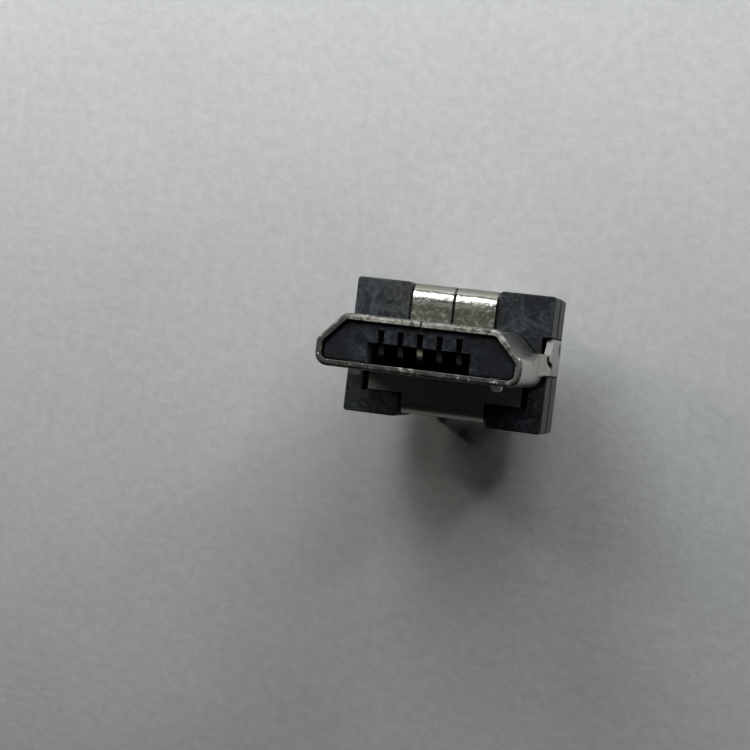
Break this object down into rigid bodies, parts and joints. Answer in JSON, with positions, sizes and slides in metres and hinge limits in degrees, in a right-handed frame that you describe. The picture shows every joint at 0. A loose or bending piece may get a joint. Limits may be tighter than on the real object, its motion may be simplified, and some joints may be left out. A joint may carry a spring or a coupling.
{
  "type": "micro usb plug",
  "caption": "Upright board-mount connector plug: folded metal shell with chamfered mouth and soldering legs, moulded body and insert, spring contacts and latch hooks.",
  "frame": {"origin": "centre of the box's base, on the surface that the four leg tips stand on", "axes": "+Z from the board towards the mouth, +Y towards the narrow chamfered side with the seam, +X along the plug's width"},
  "size_m": [0.0074, 0.0048, 0.0098],
  "materials": {
    "shell_metal": "dull nickel plate, worn bright at the mouth",
    "body_plastic": "matt moulded, mottled blue-black",
    "contact_metal": "thin gold plate, dulled",
    "latch_metal": "plain spring steel"
  },
  "bodies": {
    "root": {"shell": "shell_metal", "housing": "body_plastic", "contact_1": "contact_metal", "contact_2": "contact_metal", "contact_3": "contact_metal", "contact_4": "contact_metal", "contact_5": "contact_metal", "latch_left": "latch_metal", "latch_right": "latch_metal"}
  },
  "joints": []
}
